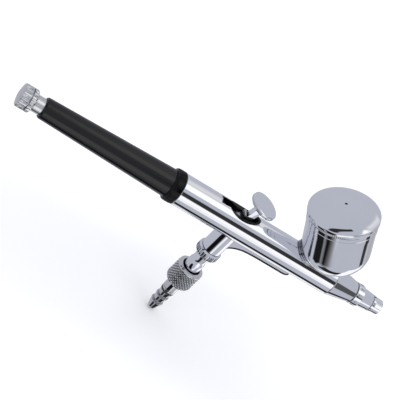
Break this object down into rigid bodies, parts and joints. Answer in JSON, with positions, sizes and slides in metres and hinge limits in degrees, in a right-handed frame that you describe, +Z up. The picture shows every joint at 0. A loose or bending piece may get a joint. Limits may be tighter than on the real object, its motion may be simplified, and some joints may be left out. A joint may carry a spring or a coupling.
{
  "type": "airbrush gun",
  "caption": "Dual-action airbrush with a leaning lidded gravity cup, lever trigger, finger brace, black tapered handle and a knurled quick-connect air inlet with hose barb.",
  "frame": {"origin": "where the axis of the air valve meets the axis of the barrel, inside the barrel below the trigger", "axes": "+X along the barrel towards the nozzle, +Y to the left of a user who points it forward, +Z up through the trigger and the cup side; the air inlet hangs along -Z"},
  "size_m": [0.1604, 0.0268, 0.0899],
  "materials": {
    "polished_chrome": "mirror-polished chrome plating on brass",
    "satin_chrome": "chrome plating over knurled or turned brass",
    "black_handle": "black anodised aluminium, satin gloss",
    "steel": "ground stainless steel",
    "brass": "turned brass",
    "white_seal": "white PTFE",
    "black_rubber": "nitrile rubber"
  },
  "bodies": {
    "body": {"barrel": "polished_chrome", "finger_brace": "polished_chrome", "cup": "polished_chrome", "head_body": "polished_chrome", "head_seal": "white_seal", "air_cap": "polished_chrome", "needle_cap": "polished_chrome", "fluid_nozzle": "brass", "packing_ring": "white_seal", "packing_screw": "brass", "needle_spring": "steel", "spring_case": "brass", "aux_pin": "steel", "valve_body": "polished_chrome", "piston_seal": "black_rubber", "valve_guide": "brass", "valve_spring": "steel", "inlet_plug": "polished_chrome", "handle": "black_handle", "handle_collar": "black_handle"},
    "lid": {"cup_lid": "polished_chrome"},
    "piston": {"valve_piston": "brass", "trigger_pin": "steel"},
    "poppet": {"valve_poppet": "brass"},
    "trigger": {"trigger": "polished_chrome"},
    "aux": {"aux_lever": "steel"},
    "needle_line": {"needle": "steel", "chuck_guide": "brass", "chuck_nut": "satin_chrome"},
    "preset_rod": {"preset_stop": "steel"},
    "preset_knob": {"preset_knob": "satin_chrome"},
    "coupler": {"coupler_body": "satin_chrome", "hose_tail": "satin_chrome", "lock_ball_1": "steel", "lock_ball_2": "steel", "lock_ball_3": "steel", "coupler_seal": "black_rubber", "check_valve": "brass", "check_spring": "steel", "sleeve_spring": "steel"},
    "sleeve": {"coupler_sleeve": "satin_chrome"}
  },
  "joints": [
    {"name": "trigger_press", "type": "slide", "parent": "body", "child": "piston", "axis": [0, 0, -1], "range_m": [0, 0.002], "stiffness_N_per_m": 600, "springref_m": -0.001},
    {"name": "trigger_tilt", "type": "hinge", "parent": "piston", "child": "trigger", "pos_m": [0, 0, -0.0034], "axis": [0, -1, 0], "range_deg": [0, 22]},
    {"name": "aux_rock", "type": "hinge", "parent": "body", "child": "aux", "pos_m": [-0.0033, 0, -0.0027], "axis": [0, -1, 0], "range_deg": [0, 24.9]},
    {"name": "needle_slide", "type": "slide", "parent": "body", "child": "needle_line", "axis": [-1, 0, 0], "range_m": [0, 0.0022], "stiffness_N_per_m": 600, "springref_m": -0.0009, "deforming": ["needle_spring"]},
    {"name": "poppet_open", "type": "slide", "parent": "body", "child": "poppet", "axis": [0, 0, -1], "range_m": [0, 0.002], "deforming": ["valve_spring"]},
    {"name": "lid_lift", "type": "slide", "parent": "body", "child": "lid", "axis": [-0.5098, 0, 0.8603], "range_m": [0, 0.02]},
    {"name": "preset_travel", "type": "slide", "parent": "body", "child": "preset_rod", "axis": [1, 0, 0], "range_m": [0, 0.0033]},
    {"name": "preset_turn", "type": "hinge", "parent": "preset_rod", "child": "preset_knob", "pos_m": [-0.085, 0, 0], "axis": [1, 0, 0], "range_deg": [0, 1080]},
    {"name": "coupler_swivel", "type": "hinge", "parent": "body", "child": "coupler", "pos_m": [0, 0, -0.032], "axis": [0, 0, 1], "continuous": true},
    {"name": "sleeve_slide", "type": "slide", "parent": "coupler", "child": "sleeve", "axis": [0, 0, -1], "range_m": [0, 0.0022], "stiffness_N_per_m": 900, "springref_m": -0.0015, "deforming": ["sleeve_spring"]}
  ],
  "couplings": [
    {"joint": "trigger_tilt", "follows": "needle_slide", "rad_per_m": 174.5},
    {"joint": "aux_rock", "follows": "needle_slide", "rad_per_m": 197.5},
    {"joint": "poppet_open", "follows": "trigger_press", "ratio": 1},
    {"joint": "preset_turn", "follows": "preset_travel", "rad_per_m": 5711.9}
  ]
}
